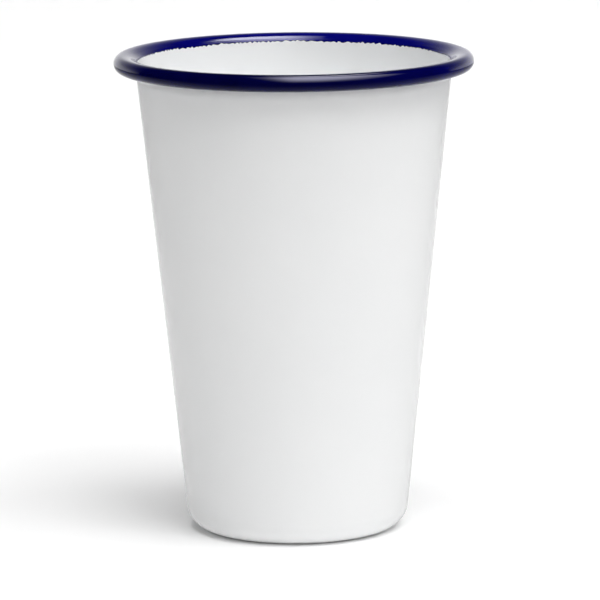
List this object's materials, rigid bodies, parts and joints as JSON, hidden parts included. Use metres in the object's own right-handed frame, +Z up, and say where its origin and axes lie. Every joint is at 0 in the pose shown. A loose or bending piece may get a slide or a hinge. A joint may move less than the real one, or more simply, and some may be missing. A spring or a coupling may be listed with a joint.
{
  "type": "enamel tumbler",
  "caption": "Tall tapered drinking tumbler in white enamelled steel, with a blue rolled rim and a flat stand ring.",
  "frame": {"origin": "centre of the stand ring, on the surface that the tumbler stands on", "axes": "+Z up along the tumbler's axis, from the base to the open mouth"},
  "size_m": [0.0942, 0.0942, 0.126],
  "materials": {
    "sheet_steel": "satin",
    "ground_enamel": "gloss",
    "white_enamel": "gloss",
    "blue_enamel": "gloss"
  },
  "bodies": {
    "root": {"steel_body": "sheet_steel", "outer_ground_coat": "ground_enamel", "inner_ground_coat": "ground_enamel", "outer_white_enamel": "white_enamel", "inner_white_enamel": "white_enamel", "blue_rim_enamel": "blue_enamel"}
  },
  "joints": []
}
